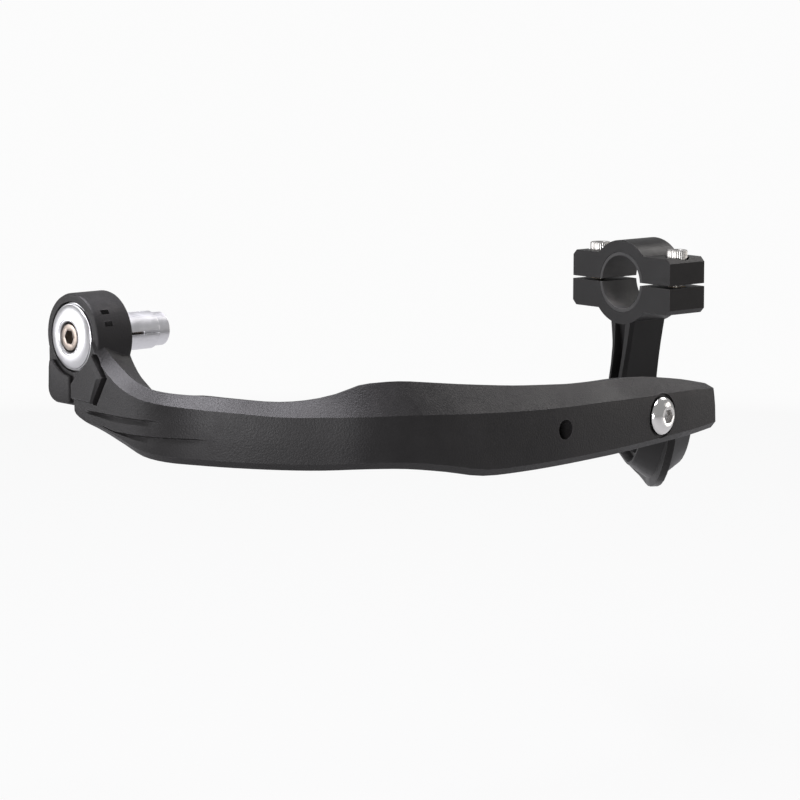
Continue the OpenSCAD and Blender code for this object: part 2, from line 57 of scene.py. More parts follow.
ROOT = "root"
SIDES = ("front", "rear")
MM = 0.001

# Camera: the place from which the photograph was taken, seen from the bar end's centre
CAMERA_PLACE = Vector((-0.7335, -1.036, 0.160))
CAMERA_TARGET = Vector((0.106, -0.0575, -0.027))
LENS = 157.5
CAMERA_REACH = 20

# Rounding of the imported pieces' edges
MOULD_EDGE = 0.45 * MM
TURNED_EDGE = 0.2 * MM
STAMPED_EDGE = 0.15 * MM
EDGE_STEPS = 3

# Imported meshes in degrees: faces merged as flat, edges rounded, faces shaded as one
FLAT_ANGLE = 0.1
SHARP_ANGLE = 34
SMOOTH_ANGLE = 32

# Points nearer than this become one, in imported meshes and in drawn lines
PACKED_GAP = 0.004 * MM
DRAWN_GAP = 0.0005 * MM

# Stage
FLOOR_DROP = 0.10
FLOOR_CENTRE = (0.12, -0.04)
FLOOR_RADIUS = 6
FLOOR_COLOUR = (0.45, 0.45, 0.45, 1)
FLOOR_GLOW = 0.95
FLOOR_FADE = (0.35, 1.1)
BACKDROP = (0.97, 0.97, 0.97, 1)
MIRRORED_SHARE = 0.3
ROOM_COLOUR = (0.97, 0.98, 1.0, 1)
ROOM_LIGHT = 0.2

# Softboxes: name, place, what each points at, its width and height, power and tint
SOFTBOXES = [
    ("left", (-0.85, 0.68, 0.10), (0, -0.02, 0), (0.7, 0.6), 9, (0.98, 0.97, 1)),
    ("top", (0.08, 0.06, 0.92), (0.04, -0.06, -0.02), (0.45, 0.75), 20, (0.95, 0.93, 1)),
    ("near", (-0.75, -0.80, -0.02), (0.02, -0.06, -0.04), (0.4, 0.4), 12, (0.98, 0.97, 1)),
    ("right", (1.25, -0.50, 0.05), (0.24, -0.09, -0.03), (0.5, 0.5), 2.2, (1, 0.94, 0.91)),
    ("right top", (1.0, 0.0, 0.75), (0.22, -0.09, -0.03), (0.4, 0.4), 3, (1, 0.97, 0.95)),
]


# Helpers for whole pieces

def select_only(obj):
    """Makes obj the one selected and active object."""
    bpy.ops.object.select_all(action="DESELECT")
    obj.select_set(True)
    bpy.context.view_layer.objects.active = obj


def apply_modifiers(obj):
    select_only(obj)
    for modifier in list(obj.modifiers):
        bpy.ops.object.modifier_apply(modifier=modifier.name)


def apply_place(obj):
    """Moves the object's place into its mesh, so that the object sits at the origin."""
    select_only(obj)
    bpy.ops.object.transform_apply(location=True, rotation=True, scale=True)


def put(piece, place, turn=(0, 0, 0)):
    """Turns a form that was made round the origin, and moves it to its place."""
    piece.rotation_euler = turn
    piece.location = place
    apply_place(piece)
    return piece


def smooth(piece, degrees):
    """Shades a piece smooth, but for the edges that are sharper than this."""
    select_only(piece)
    bpy.ops.object.shade_smooth_by_angle(angle=math.radians(degrees))
    return piece


def round_edges(piece, width, steps, degrees, corner="MITER_SHARP"):
    """Rounds the edges that are sharper than this."""
    bevel = piece.modifiers.new("rounded edges", "BEVEL")
    bevel.width = width
    bevel.segments = steps
    bevel.limit_method = "ANGLE"
    bevel.angle_limit = math.radians(degrees)
    bevel.miter_outer = corner
    apply_modifiers(piece)


def keep(piece, material, slot, *nodes):
    """Gives a finished piece its material and body, and hides the nodes that it stands for."""
    piece.data.materials.clear()
    piece.data.materials.append(material)
    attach(piece, ROOT)
    if nodes:
        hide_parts(*nodes)


def middle(node):
    """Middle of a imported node's box."""
    low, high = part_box(node)
    return (low + high) / 2


def dressed_copy(node, name, edge):
    """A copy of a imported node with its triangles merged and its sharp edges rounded."""
    piece = bpy.data.objects.new(name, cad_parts[node].data.copy())
    bpy.context.scene.collection.objects.link(piece)
    select_only(piece)
    bpy.ops.object.mode_set(mode="EDIT")
    bpy.ops.mesh.select_all(action="SELECT")
    bpy.ops.mesh.customdata_custom_splitnormals_clear()
    bpy.ops.mesh.remove_doubles(threshold=PACKED_GAP)
    bpy.ops.mesh.dissolve_limited(angle_limit=math.radians(FLAT_ANGLE))
    bpy.ops.object.mode_set(mode="OBJECT")
    round_edges(piece, edge, EDGE_STEPS, SHARP_ANGLE, "MITER_ARC")
    smooth(piece, SMOOTH_ANGLE)
    even = piece.modifiers.new("even shading", "WEIGHTED_NORMAL")
    even.mode = "FACE_AREA_WITH_ANGLE"
    even.keep_sharp = True
    apply_modifiers(piece)
    return piece


# Drawn lines and turned forms

def select_points(piece, wanted):
    """Enters edit mode with just those vertices selected for which wanted(place) holds."""
    select_only(piece)
    bpy.ops.object.mode_set(mode="EDIT")
    bpy.ops.mesh.select_mode(type="VERT")
    bpy.ops.mesh.select_all(action="DESELECT")
    bpy.ops.object.mode_set(mode="OBJECT")
    for vertex in piece.data.vertices:
        vertex.select = bool(wanted(vertex.co))
    bpy.ops.object.mode_set(mode="EDIT")


def draw_line(name, points, closed=False):
    """A new object, left in edit mode, that holds a line through points in millimetres."""
    bpy.ops.object.select_all(action="DESELECT")
    bpy.ops.mesh.primitive_plane_add(size=MM)
    piece = bpy.context.object
    piece.name = name
    bpy.ops.object.mode_set(mode="EDIT")
    bpy.ops.mesh.select_mode(type="VERT")
    bpy.ops.mesh.select_all(action="SELECT")
    bpy.ops.mesh.merge(type="CENTER")
    line = [Vector(point) * MM for point in points]
    if closed:
        line.append(line[0].copy())
    bpy.ops.transform.translate(value=line[0])
    for here, there in zip(line, line[1:]):
        bpy.ops.mesh.extrude_region_move(TRANSFORM_OT_translate={"value": there - here})
    bpy.ops.mesh.select_all(action="SELECT")
    bpy.ops.mesh.remove_doubles(threshold=DRAWN_GAP)
    return piece


def turn_profile(name, profile, steps, closed=False):
    """Turned form round the X axis, from a line of (along, radius) points in millimetres."""
    piece = draw_line(name, [(along, radius, 0) for along, radius in profile], closed)
    bpy.ops.mesh.spin(steps=steps, angle=2 * math.pi, center=(0, 0, 0), axis=(1, 0, 0))
    bpy.ops.mesh.select_all(action="SELECT")
    bpy.ops.mesh.remove_doubles(threshold=DRAWN_GAP)
    bpy.ops.mesh.normals_make_consistent(inside=False)
    bpy.ops.object.mode_set(mode="OBJECT")
    return piece


# Socket: drill point as a share of its radius, key as a share of the screw's size, floor as a
# share of the head's height, and how far the cut starts above the head in millimetres
DRILL_POINT = 0.28
KEY_WIDTH = 0.8
SOCKET_FLOOR = 0.46
CUT_ABOVE = 0.5

# Knurl: its grooves' radius as a share of the head's, and how near the side a point is on it
KNURL_FLOOR = 0.955
KNURL_REACH = 0.004 * MM

# Thread: three shares of the pitch, then two lengths in millimetres
THREAD_DEPTH = 0.55
THREAD_HALF_WIDTH = 0.38
SCREW_ROUNDING = 0.09
THREAD_CHAMFER = 0.55
THREAD_PLAIN_END = 0.6


def cut_hexagon(piece, across, mouth, floor):
    """Hexagonal socket between two places along X, with a drill point under it (millimetres)."""
    radius = across / math.sqrt(3)
    centre = (mouth + floor) / 2
    bpy.ops.object.select_all(action="DESELECT")
    bpy.ops.mesh.primitive_cylinder_add(vertices=6, radius=radius * MM, depth=(floor - mouth) * MM,
                                        location=(centre * MM, 0, 0),
                                        rotation=(0, math.pi / 2, 0))
    cutter = bpy.context.object
    apply_place(cutter)
    select_points(cutter, lambda place: place.x > centre * MM)
    point = (DRILL_POINT * radius * MM, 0, 0)
    bpy.ops.mesh.extrude_region_move(TRANSFORM_OT_translate={"value": point})
    bpy.ops.mesh.merge(type="CENTER")
    bpy.ops.object.mode_set(mode="OBJECT")
    cut = piece.modifiers.new("socket", "BOOLEAN")
    cut.operation = "DIFFERENCE"
    cut.object = cutter
    apply_modifiers(piece)
    bpy.data.objects.remove(cutter)


def knurl(piece, radius, steps):
    """Presses fine grooves into the side of a turned head, at every second point round it."""
    def groove(place):
        index = round(math.atan2(place.z, place.y) / (2 * math.pi / steps))
        off_side = abs(math.hypot(place.y, place.z) - radius * MM)
        return index % 2 == 1 and off_side < KNURL_REACH
    select_points(piece, groove)
    bpy.ops.transform.resize(value=(1, KNURL_FLOOR, KNURL_FLOOR))
    bpy.ops.object.mode_set(mode="OBJECT")


def thread_points(start, end, crest, pitch):
    """Outline of ringed thread grooves along X, from start to end (millimetres)."""
    root = crest - THREAD_DEPTH * pitch
    half = THREAD_HALF_WIDTH * pitch
    points = [(start, crest)]
    for turn in range(int((end - start - THREAD_PLAIN_END) / pitch)):
        at = start + pitch * (turn + 0.5)
        points += [(at - half, crest), (at, root), (at + half, crest)]
    return points + [(end - THREAD_CHAMFER, crest), (end, crest - THREAD_CHAMFER)]


# Node trees: helpers, and node groups that more than one finish uses

def new_group(name, inputs, outputs):
    """An empty shader node group: an input with no default value takes a vector."""
    group = bpy.data.node_groups.new(name, "ShaderNodeTree")
    for label, default in inputs.items():
        kind = "NodeSocketVector" if default is None else "NodeSocketFloat"
        socket = group.interface.new_socket(label, in_out="INPUT", socket_type=kind)
        if default is not None:
            socket.default_value = default
    for label in outputs:
        group.interface.new_socket(label, in_out="OUTPUT", socket_type="NodeSocketFloat")
    return group, group.nodes.new("NodeGroupInput"), group.nodes.new("NodeGroupOutput")


def add(tree, kind, **values):
    """Adds a node and sets its properties, and its sockets by name where a key has one."""
    node = tree.nodes.new(kind)
    for key, value in values.items():
        label = key.replace("_", " ")
        if label in node.inputs:
            node.inputs[label].default_value = value
        else:
            setattr(node, key, value)
    return node


def maths(tree, operation, a, b=None, clamp=False):
    """A Math node fed by sockets or numbers, given back as its output."""
    node = add(tree, "ShaderNodeMath", operation=operation, use_clamp=clamp)
    for index, value in enumerate((a, b)):
        if value is None:
            continue
        if isinstance(value, (int, float)):
            node.inputs[index].default_value = value
        else:
            tree.links.new(value, node.inputs[index])
    return node.outputs[0]


def weighted_sum(tree, parts, start=None):
    """The sum of a starting number, if there is one, and of each socket times its share."""
    total = start
    for share, socket in parts:
        part = maths(tree, "MULTIPLY", socket, share)
        total = part if total is None else maths(tree, "ADD", total, part)
    return total


def ramp(tree, value, low, high):
    """Value turned from the range low..high into 0..1, smoothly and clamped."""
    node = add(tree, "ShaderNodeMapRange", interpolation_type="SMOOTHSTEP")
    node.inputs["From Min"].default_value = low
    node.inputs["From Max"].default_value = high
    tree.links.new(value, node.inputs["Value"])
    return node.outputs["Result"]


def object_place(tree):
    return tree.nodes.new("ShaderNodeTexCoord").outputs["Object"]


def noise(tree, place, scale, detail, roughness=0.5):
    node = add(tree, "ShaderNodeTexNoise", Scale=scale, Detail=detail, Roughness=roughness)
    tree.links.new(place, node.inputs["Vector"])
    return node.outputs["Fac"]


def make_grain_group():
    """Spark-eroded mould grain: a height for bump and a slow mottle."""
    group, sent, out = new_group("mould grain", {"Size": 1.0}, ["Height", "Mottle"])
    scaled = add(group, "ShaderNodeVectorMath", operation="SCALE")
    group.links.new(object_place(group), scaled.inputs[0])
    group.links.new(sent.outputs["Size"], scaled.inputs["Scale"])
    place = scaled.outputs[0]
    cells = add(group, "ShaderNodeTexVoronoi", feature="SMOOTH_F1", Scale=1500, Smoothness=0.6)
    group.links.new(place, cells.inputs["Vector"])
    fine = noise(group, place, scale=3200, detail=3)
    height = weighted_sum(group, [(0.7, cells.outputs["Distance"]), (0.6, fine)])
    group.links.new(height, out.inputs["Height"])
    mottle = noise(group, place, scale=38, detail=4, roughness=0.6)
    group.links.new(mottle, out.inputs["Mottle"])
    return group


def make_wear_group():
    """Mask of handled edges: strong where a rounded normal departs from the true one."""
    group, sent, out = new_group("edge wear", {"Radius": 0.0008, "Spread": 0.5}, ["Mask"])
    bevel = add(group, "ShaderNodeBevel", samples=6)
    group.links.new(sent.outputs["Radius"], bevel.inputs["Radius"])
    geometry = group.nodes.new("ShaderNodeNewGeometry")
    dot = add(group, "ShaderNodeVectorMath", operation="DOT_PRODUCT")
    group.links.new(bevel.outputs[0], dot.inputs[0])
    group.links.new(geometry.outputs["Normal"], dot.inputs[1])
    bend = maths(group, "SUBTRACT", 1.0, dot.outputs["Value"])
    edge = ramp(group, bend, low=0.01, high=0.12)
    patches = noise(group, object_place(group), scale=420, detail=5, roughness=0.65)
    broken = maths(group, "MULTIPLY", edge, ramp(group, patches, low=0.38, high=0.62))
    mask = maths(group, "MULTIPLY", broken, sent.outputs["Spread"], clamp=True)
    group.links.new(mask, out.inputs["Mask"])
    return group


def make_dust_group():
    """Mask of fine dust, which settles on what faces up."""
    group, sent, out = new_group("dust", {"Amount": 0.3}, ["Mask"])
    normal = group.nodes.new("ShaderNodeSeparateXYZ")
    geometry = group.nodes.new("ShaderNodeNewGeometry")
    group.links.new(geometry.outputs["Normal"], normal.inputs[0])
    upward = ramp(group, normal.outputs["Z"], low=0.1, high=0.95)
    patches = noise(group, object_place(group), scale=90, detail=6, roughness=0.7)
    cloud = maths(group, "MULTIPLY", upward, ramp(group, patches, low=0.42, high=0.75))
    mask = maths(group, "MULTIPLY", cloud, sent.outputs["Amount"], clamp=True)
    group.links.new(mask, out.inputs["Mask"])
    return group


def make_turned_group():
    """Fine tool marks in rings round the X axis of the mapped place."""
    group, sent, out = new_group("turning marks", {"Place": None}, ["Height", "Shade"])
    parts = group.nodes.new("ShaderNodeSeparateXYZ")
    group.links.new(sent.outputs["Place"], parts.inputs[0])
    squares = maths(group, "ADD", maths(group, "MULTIPLY", parts.outputs["Y"], parts.outputs["Y"]),
                    maths(group, "MULTIPLY", parts.outputs["Z"], parts.outputs["Z"]))
    ring = group.nodes.new("ShaderNodeCombineXYZ")
    group.links.new(maths(group, "SQRT", squares), ring.inputs["X"])
    group.links.new(parts.outputs["X"], ring.inputs["Y"])
    lines = noise(group, ring.outputs[0], scale=5200, detail=3, roughness=0.6)
    bands = noise(group, ring.outputs[0], scale=700, detail=2)
    group.links.new(lines, out.inputs["Height"])
    group.links.new(weighted_sum(group, [(0.6, lines), (0.4, bands)]), out.inputs["Shade"])
    return group


GROUPS = {
    "grain": make_grain_group(),
    "wear": make_wear_group(),
    "dust": make_dust_group(),
    "turned": make_turned_group(),
}


def place_group(tree, key, **values):
    node = add(tree, "ShaderNodeGroup", node_tree=GROUPS[key])
    for label, value in values.items():
        node.inputs[label].default_value = value
    return node


# Finishes

PLASTIC_DUST = (0.16, 0.15, 0.145, 1)
RUBBER_DUST = (0.12, 0.11, 0.1, 1)


def mix_colour(tree, mask, first, second):
    """First where mask is 0, second where it is 1: each a colour or a socket."""
    node = add(tree, "ShaderNodeMix", data_type="RGBA")
    tree.links.new(mask, node.inputs["Factor"])
    for index, value in ((6, first), (7, second)):
        if isinstance(value, tuple):
            node.inputs[index].default_value = value
        else:
            tree.links.new(value, node.inputs[index])
    return node.outputs[2]


def grey(level, warm=0.0):
    """A near-neutral colour, warmer for a positive second value and cooler for a negative one."""
    return (level * (1 + warm), level, level * (1 - warm), 1)


def shade(colour, factor):
    """A colour made darker or lighter."""
    return tuple(channel * factor for channel in colour[:3]) + (1,)


def new_material(name):
    material = bpy.data.materials.new(name)
    material.use_nodes = True
    return material, material.node_tree, material.node_tree.nodes["Principled BSDF"]


def add_bump(tree, shader, height, strength, distance):
    bump = add(tree, "ShaderNodeBump", Strength=strength, Distance=distance)
    tree.links.new(height, bump.inputs["Height"])
    tree.links.new(bump.outputs["Normal"], shader.inputs["Normal"])


def make_moulded(name, colour, worn, rough, grain_size, grain_depth, dust, specular):
    """Moulded plastic: mottled colour, eroded grain, paler worn edges and a little dust."""
    material, tree, shader = new_material(name)
    grain = place_group(tree, "grain", Size=grain_size)
    wear = place_group(tree, "wear", Radius=0.7 * MM, Spread=0.55)
    haze = place_group(tree, "dust", Amount=dust)
    mottle = ramp(tree, grain.outputs["Mottle"], low=0.3, high=0.7)
    base = mix_colour(tree, mottle, shade(colour, 0.82), shade(colour, 1.15))
    base = mix_colour(tree, wear.outputs["Mask"], base, worn)
    base = mix_colour(tree, haze.outputs["Mask"], base, PLASTIC_DUST)
    tree.links.new(base, shader.inputs["Base Color"])
    shares = [(0.1, mottle), (0.12, grain.outputs["Height"]), (0.3, haze.outputs["Mask"])]
    tree.links.new(weighted_sum(tree, shares, rough - 0.1), shader.inputs["Roughness"])
    shader.inputs["Specular IOR Level"].default_value = specular
    add_bump(tree, shader, grain.outputs["Height"], strength=0.5, distance=grain_depth)
    return material


def make_turned(name, colour, rough, marks, centre=(0, 0, 0), turn=(0, 0, 0)):
    """Turned metal: rings of tool marks round the X axis through centre, after a turn."""
    material, tree, shader = new_material(name)
    mapping = add(tree, "ShaderNodeMapping", vector_type="TEXTURE", Location=centre, Rotation=turn)
    tree.links.new(object_place(tree), mapping.inputs["Vector"])
    turned = place_group(tree, "turned")
    tree.links.new(mapping.outputs[0], turned.inputs["Place"])
    wear = place_group(tree, "wear", Radius=0.4 * MM, Spread=0.5)
    smear = noise(tree, object_place(tree), scale=160, detail=5, roughness=0.65)
    base = mix_colour(tree, turned.outputs["Shade"], shade(colour, 0.86), colour)
    base = mix_colour(tree, wear.outputs["Mask"], base, grey(0.9))
    tree.links.new(base, shader.inputs["Base Color"])
    shader.inputs["Metallic"].default_value = 1
    shares = [(0.12, ramp(tree, smear, low=0.35, high=0.7))]
    tree.links.new(weighted_sum(tree, shares, rough - 0.06), shader.inputs["Roughness"])
    add_bump(tree, shader, turned.outputs["Height"], strength=marks, distance=0.02 * MM)
    return material


def make_rubber():
    material, tree, shader = new_material("liner rubber")
    grain = place_group(tree, "grain", Size=1.6)
    haze = place_group(tree, "dust", Amount=0.5)
    mottle = ramp(tree, grain.outputs["Mottle"], low=0.3, high=0.7)
    base = mix_colour(tree, mottle, grey(0.012), grey(0.026, warm=0.03))
    base = mix_colour(tree, haze.outputs["Mask"], base, RUBBER_DUST)
    tree.links.new(base, shader.inputs["Base Color"])
    roughness = weighted_sum(tree, [(0.2, haze.outputs["Mask"])], 0.7)
    tree.links.new(roughness, shader.inputs["Roughness"])
    add_bump(tree, shader, grain.outputs["Height"], strength=0.4, distance=0.05 * MM)
    return material


# Where the blade's screw stands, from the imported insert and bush
SCREW_AXIS = (middle("blade_bush") - middle("blade_insert")).normalized()
SCREW_TURN = (0, 0, math.atan2(SCREW_AXIS.y, SCREW_AXIS.x))

# Finish that the jaw screw shares with the clamp's screws
PLATED = {"colour": (0.42, 0.41, 0.39, 1), "rough": 0.34, "marks": 0.2}

blade_plastic = make_moulded("blade plastic", colour=(0.0125, 0.0119, 0.012, 1),
                             worn=(0.06, 0.058, 0.059, 1), rough=0.42, grain_size=1.0,
                             grain_depth=0.14 * MM, dust=0.07, specular=0.17)
arm_plastic = make_moulded("arm plastic", colour=(0.0045, 0.0042, 0.0041, 1),
                           worn=(0.03, 0.028, 0.027, 1), rough=0.36, grain_size=1.3,
                           grain_depth=0.016 * MM, dust=0.06, specular=0.17)
disc_metal = make_turned("end disc aluminium", (0.56, 0.56, 0.57, 1), rough=0.38, marks=0.5)
plug_metal = make_turned("plug aluminium", (0.66, 0.66, 0.68, 1), rough=0.38, marks=0.3)
disc_screw_metal = make_turned("disc screw steel", (0.27, 0.23, 0.2, 1), rough=0.36, marks=0.3)
button_metal = make_turned("button head steel", (0.66, 0.65, 0.64, 1), rough=0.16, marks=0.12,
                           centre=tuple(middle("blade_bush")), turn=SCREW_TURN)
pinch_metal = make_turned("pinch screw steel", **PLATED, centre=tuple(middle("pinch_bolt")),
                          turn=(0, 0, math.pi / 2))
clamp_metal = {
    side: make_turned(f"clamp screw steel {side}", **PLATED,
                      centre=tuple(middle(f"clamp_bolt_{side}")), turn=(0, math.pi / 2, 0))
    for side in SIDES
}
insert_brass = make_turned("insert brass", (0.70, 0.50, 0.22, 1), rough=0.32, marks=0.2)
liner_rubber = make_rubber()

# Screws in millimetres
M5 = {"size": 5, "head": 8.5, "head_height": 5, "pitch": 0.8}
M6 = {"size": 6, "head": 10, "head_height": 6, "pitch": 1.0}
CAP_STEPS = 72
DISC_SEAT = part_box("disc_bolt")[0].x / MM + M6["head_height"]
BUTTON_LENGTH = 12.8
BUSH_HALF = 1.8

# Seat of the button head on the bush, and the turns that take a head from -X to its side
BUTTON_SEAT = middle("blade_bush") + SCREW_AXIS * BUSH_HALF * MM
BUTTON_TURN = (0, 0, math.atan2(-SCREW_AXIS.y, -SCREW_AXIS.x))
HEAD_BACK = (0, 0, -math.pi / 2)
HEAD_UP = (0, math.pi / 2, 0)

# Disc in millimetres: step from its side to its face, the dome, and the rounding of its rim
FACE_STEP = 0.5
DOME_START = 6.75
DOME_DROP = 1.25
DOME_CURVE = 2.6
RIM_ROUND = 0.4
RIM_DEPTH = 0.42


# Turned pieces

def make_turned_disc():
    """End disc: domed face, rounded rim, ring groove round the recess, spigot and taper."""
    low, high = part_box("end_disc")
    radius, front, tip = high.y / MM, low.x / MM, high.x / MM
    face = radius - FACE_STEP
    edge = face - RIM_ROUND
    recess = [(DISC_SEAT, 3.2), (DISC_SEAT, 5.6), (front + 0.75, 5.6), (front + 0.35, 5.75),
              (front, 6.15)]
    groove = [(front, 6.3), (front + 0.35, 6.38), (front + 0.35, 6.62)]
    dome = [(front + DOME_DROP * share ** DOME_CURVE, DOME_START + (edge - DOME_START) * share)
            for share in (0, 0.12, 0.25, 0.4, 0.55, 0.7, 0.82, 0.92, 1)]
    rim = [(front + DOME_DROP + RIM_DEPTH * math.sin(angle),
            edge + RIM_ROUND * (1 - math.cos(angle)))
           for angle in (math.radians(degrees) for degrees in (30, 60, 90))]
    side = [(-0.9, face), (-0.7, radius), (-0.3, radius), (0, radius - 0.3)]
    spigot = [(0, 7.0), (4.3, 7.0), (4.6, 6.8)]
    taper = [(4.6, 6.05), (tip, 5.03), (tip, 3.2)]
    line = recess + groove + dome + rim + side + spigot + taper
    return smooth(turn_profile("turned_disc", line, 144, closed=True), 24)


def make_cap_screw(name, size, head, head_height, length, pitch):
    """Socket-head cap screw with its seat at the origin and its head towards -X."""
    side = head / 2
    crest = size / 2 - 0.1
    line = ([(-head_height, 0), (-head_height, side - 0.5), (-head_height + 0.12, side - 0.22),
             (-head_height + 0.5, side), (-0.35, side), (-0.1, side - 0.12), (0, side - 0.3),
             (0, crest), (1.2, crest)]
            + thread_points(1.6, length, crest, pitch) + [(length, 0)])
    piece = turn_profile(name, line, CAP_STEPS)
    cut_hexagon(piece, KEY_WIDTH * size, -head_height - CUT_ABOVE, -head_height * SOCKET_FLOOR)
    round_edges(piece, SCREW_ROUNDING * pitch * MM, steps=2, degrees=50)
    knurl(piece, side, CAP_STEPS)
    return smooth(piece, 28)


def make_button_screw():
    """Button-head screw of the blade: low dome, hexagonal socket, threaded shank."""
    side, flat, height, brim = 7.5, 3.9, 3.9, 0.45
    crest, pitch, key, socket = 3.9, 1.25, 5, 2.5
    dome = [(-brim - (height - brim) * math.sin(angle), side * math.cos(angle) ** 0.75)
            for angle in (math.radians(degrees) for degrees in range(62, 12, -7))]
    line = ([(-height, 0), (-height, flat)] + dome
            + [(-brim, side), (-0.15, side - 0.03), (0, side - 0.2), (0, crest), (1.0, crest)]
            + thread_points(1.4, BUTTON_LENGTH, crest, pitch) + [(BUTTON_LENGTH, 0)])
    piece = turn_profile("button_screw", line, 96)
    cut_hexagon(piece, key, -height - CUT_ABOVE, -height + socket)
    round_edges(piece, 0.14 * MM, steps=3, degrees=50)
    return smooth(piece, 30)


keep(make_turned_disc(), disc_metal, "turned_aluminium", "end_disc")

disc_screw = make_cap_screw("disc_screw", length=36, **M6)
keep(put(disc_screw, (DISC_SEAT * MM, 0, 0)), disc_screw_metal, "plated_steel", "disc_bolt")

keep(put(make_button_screw(), BUTTON_SEAT, BUTTON_TURN), button_metal, "bright_steel", "blade_bolt")

low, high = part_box("pinch_bolt")
jaw_screw = make_cap_screw("jaw_screw", length=20.5, **M5)
seat = middle("pinch_bolt") + Vector((0, (high.y - low.y) / 2 - M5["head_height"] * MM, 0))
keep(put(jaw_screw, seat, HEAD_BACK), pinch_metal, "plated_steel", "pinch_bolt")

for side in SIDES:
    low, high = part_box(f"clamp_bolt_{side}")
    length = (high.z - low.z) / MM - M5["head_height"]
    screw = make_cap_screw(f"clamp_screw_{side}", length=length, **M5)
    seat = Vector(((low.x + high.x) / 2, (low.y + high.y) / 2, high.z - M5["head_height"] * MM))
    keep(put(screw, seat, HEAD_UP), clamp_metal[side], "plated_steel", f"clamp_bolt_{side}")

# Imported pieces: node, new piece, rounding of its edges, material and slot
DRESS = [
    ("guard_blade", "blade_moulding", MOULD_EDGE, blade_plastic, "blade_plastic"),
    ("mounting_arm", "arm_moulding", MOULD_EDGE, arm_plastic, "arm_plastic"),
    ("clamp_cap", "cap_moulding", MOULD_EDGE, arm_plastic, "arm_plastic"),
    ("expander_sleeve", "split_sleeve", TURNED_EDGE, plug_metal, "plug_aluminium"),
    ("cone_nut", "taper_nut", TURNED_EDGE, plug_metal, "plug_aluminium"),
    ("pinch_washer", "jaw_washer", STAMPED_EDGE, pinch_metal, "plated_steel"),
    ("pinch_nut", "jaw_nut", STAMPED_EDGE, pinch_metal, "plated_steel"),
    ("blade_bush", "blade_collar", TURNED_EDGE, button_metal, "plated_steel"),
    ("blade_insert", "blade_thread_insert", TURNED_EDGE, insert_brass, "brass"),
    ("clamp_liner_lower", "liner_lower", STAMPED_EDGE, liner_rubber, "rubber"),
    ("clamp_liner_upper", "liner_upper", STAMPED_EDGE, liner_rubber, "rubber"),
]
for side in SIDES:
    DRESS += [
        (f"clamp_washer_{side}", f"clamp_disc_{side}", STAMPED_EDGE, clamp_metal[side], "plated_steel"),
        (f"clamp_insert_{side}", f"clamp_thread_{side}", TURNED_EDGE, insert_brass, "brass"),
    ]
for node, name, edge, material, slot in DRESS:
    keep(dressed_copy(node, name, edge), material, slot, node)

# Jaw pad in millimetres: foot and top along X, split and rear along Y, low along Z, two radii
PAD_FOOT = -1.7
PAD_TOP = -3.4
PAD_SPLIT = 0.3
PAD_REAR = 13.4
PAD_LOW = -24.4
PAD_ROUND = 5
PAD_HOLLOW = 14.2


def make_jaw_pad():
    """Raised pad on the collar's rear jaw: it follows the disc above and the jaw below."""
    corner = [(PAD_REAR - PAD_ROUND + PAD_ROUND * math.sin(angle),
               PAD_LOW + PAD_ROUND - PAD_ROUND * math.cos(angle))
              for angle in (math.radians(degrees) for degrees in range(0, 91, 10))]
    # Above its round corner the rear side leans in
    leaning = [(PAD_REAR - 0.3 - 0.1 * step, -12.2 + 0.65 * step) for step in range(5)]
    arc = [(PAD_HOLLOW * math.cos(angle), -PAD_HOLLOW * math.sin(angle))
           for angle in (math.radians(degrees) for degrees in range(40, 86, 5))]
    outline = [(PAD_SPLIT, PAD_LOW)] + corner + leaning + arc + [(PAD_SPLIT, -PAD_HOLLOW)]
    pad = draw_line("jaw_pad", [(PAD_FOOT, across, up) for across, up in outline], closed=True)
    bpy.ops.mesh.edge_face_add()
    rise = ((PAD_TOP - PAD_FOOT) * MM, 0, 0)
    bpy.ops.mesh.extrude_region_move(TRANSFORM_OT_translate={"value": rise})
    bpy.ops.mesh.select_all(action="SELECT")
    bpy.ops.mesh.normals_make_consistent(inside=False)
    bpy.ops.object.mode_set(mode="OBJECT")
    round_edges(pad, 0.5 * MM, steps=3, degrees=40)
    return smooth(pad, 30)


keep(make_jaw_pad(), blade_plastic, "blade_plastic")

# Ejector marks: places along X and the outline in millimetres, the height in metres
MARK_PLACES = (52.6, 68.7, 86, 104, 124, 175)
MARK_LINE = [(-0.25, 2.45), (-0.25, 2.2), (-0.12, 2.1), (0.3, 2.1), (0.3, 2.6), (-0.1, 2.6)]
MARK_HEIGHT = -36 * MM


def make_ejector_marks():
    """Round marks that the mould's pins leave on the channel's floor, one between two ribs."""
    blade = bpy.data.objects["blade_moulding"]
    bpy.context.view_layer.update()
    marks = []
    for along in MARK_PLACES:
        start = Vector((along * MM, 0, MARK_HEIGHT))
        found, place, normal, _ = blade.ray_cast(start, Vector((0, -1, 0)))
        if found:
            turn = (-normal).to_track_quat("X", "Z").to_euler()
            marks.append(put(turn_profile("pin_mark", MARK_LINE, 40, closed=True), place, turn))
    bpy.ops.object.select_all(action="DESELECT")
    for mark in marks:
        mark.select_set(True)
    bpy.context.view_layer.objects.active = marks[0]
    bpy.ops.object.join()
    marks[0].name = "ejector_marks"
    return smooth(marks[0], 30)


keep(make_ejector_marks(), blade_plastic, "blade_plastic")


# Stage: floor, backdrop, light and camera

def camera_rays(tree):
    """1 for rays from the camera and through glass, less for mirrored ones, 0 for those that light."""
    path = tree.nodes.new("ShaderNodeLightPath")
    mirrored = maths(tree, "MULTIPLY", path.outputs["Is Glossy Ray"], MIRRORED_SHARE)
    seen = maths(tree, "ADD", path.outputs["Is Camera Ray"], mirrored)
    return maths(tree, "ADD", seen, path.outputs["Is Transmission Ray"], clamp=True)


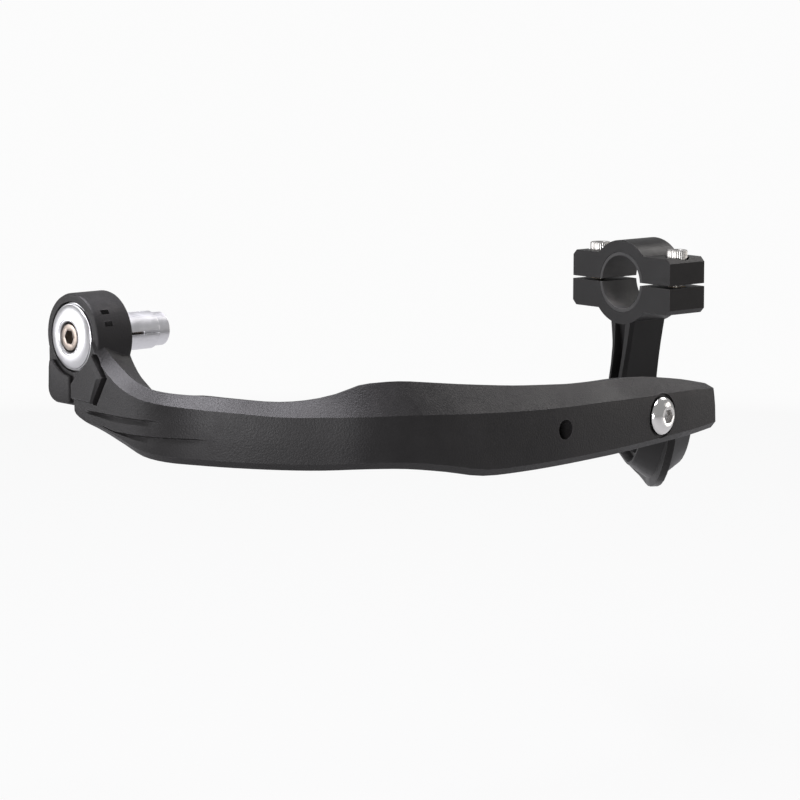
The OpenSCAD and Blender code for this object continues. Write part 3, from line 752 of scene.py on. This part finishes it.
def mix_shaders(tree, share, first, second):
    """First where share is 0, second where it is 1."""
    mixed = tree.nodes.new("ShaderNodeMixShader")
    tree.links.new(share, mixed.inputs["Fac"])
    tree.links.new(first, mixed.inputs[1])
    tree.links.new(second, mixed.inputs[2])
    return mixed.outputs[0]


def make_floor():
    """Pale floor that fades into the backdrop, and that can't be seen from below."""
    centre = FLOOR_CENTRE + (cad_box[0][2] - FLOOR_DROP,)
    bpy.ops.mesh.primitive_circle_add(vertices=96, radius=FLOOR_RADIUS, fill_type="NGON",
                                      location=centre)
    floor = bpy.context.object
    floor.name = "floor"
    apply_place(floor)
    material = bpy.data.materials.new("pale floor")
    material.use_nodes = True
    tree = material.node_tree
    tree.nodes.clear()
    matt = add(tree, "ShaderNodeBsdfDiffuse", Color=FLOOR_COLOUR)
    glow = add(tree, "ShaderNodeEmission", Color=BACKDROP)
    distance = add(tree, "ShaderNodeVectorMath", operation="DISTANCE")
    tree.links.new(object_place(tree), distance.inputs[0])
    distance.inputs[1].default_value = centre
    far = ramp(tree, distance.outputs["Value"], *FLOOR_FADE)
    share = maths(tree, "MULTIPLY", maths(tree, "MAXIMUM", far, FLOOR_GLOW), camera_rays(tree))
    above = mix_shaders(tree, share, matt.outputs[0], glow.outputs[0])
    side = tree.nodes.new("ShaderNodeNewGeometry")
    clear = tree.nodes.new("ShaderNodeBsdfTransparent")
    both = mix_shaders(tree, side.outputs["Backfacing"], above, clear.outputs[0])
    out = tree.nodes.new("ShaderNodeOutputMaterial")
    tree.links.new(both, out.inputs["Surface"])
    floor.data.materials.append(material)


def make_world():
    """Backdrop for rays from the camera, and dim even light for all others."""
    world = bpy.data.worlds.new("studio")
    world.use_nodes = True
    tree = world.node_tree
    tree.nodes.clear()
    seen = add(tree, "ShaderNodeBackground", Color=BACKDROP, Strength=1.0)
    lit = add(tree, "ShaderNodeBackground", Color=ROOM_COLOUR, Strength=ROOM_LIGHT)
    out = tree.nodes.new("ShaderNodeOutputWorld")
    both = mix_shaders(tree, camera_rays(tree), lit.outputs[0], seen.outputs[0])
    tree.links.new(both, out.inputs["Surface"])
    bpy.context.scene.world = world


def look_at(obj, place, target):
    """Puts a lamp or camera at its place, turned towards its target."""
    obj.location = place
    obj.rotation_euler = (Vector(target) - Vector(place)).to_track_quat("-Z", "Y").to_euler()
    bpy.context.scene.collection.objects.link(obj)


def add_softbox(name, place, target, size, power, tint):
    light = bpy.data.lights.new(name, "AREA")
    light.shape = "RECTANGLE"
    light.size, light.size_y = size
    light.energy = power
    light.color = tint
    look_at(bpy.data.objects.new(name, light), place, target)


def add_camera():
    data = bpy.data.cameras.new("camera")
    data.lens = LENS
    data.clip_end = CAMERA_REACH
    camera = bpy.data.objects.new("camera", data)
    look_at(camera, CAMERA_PLACE, CAMERA_TARGET)
    bpy.context.scene.camera = camera


make_floor()
make_world()
for softbox in SOFTBOXES:
    add_softbox(*softbox)
add_camera()
bpy.context.scene.view_settings.view_transform = "Standard"
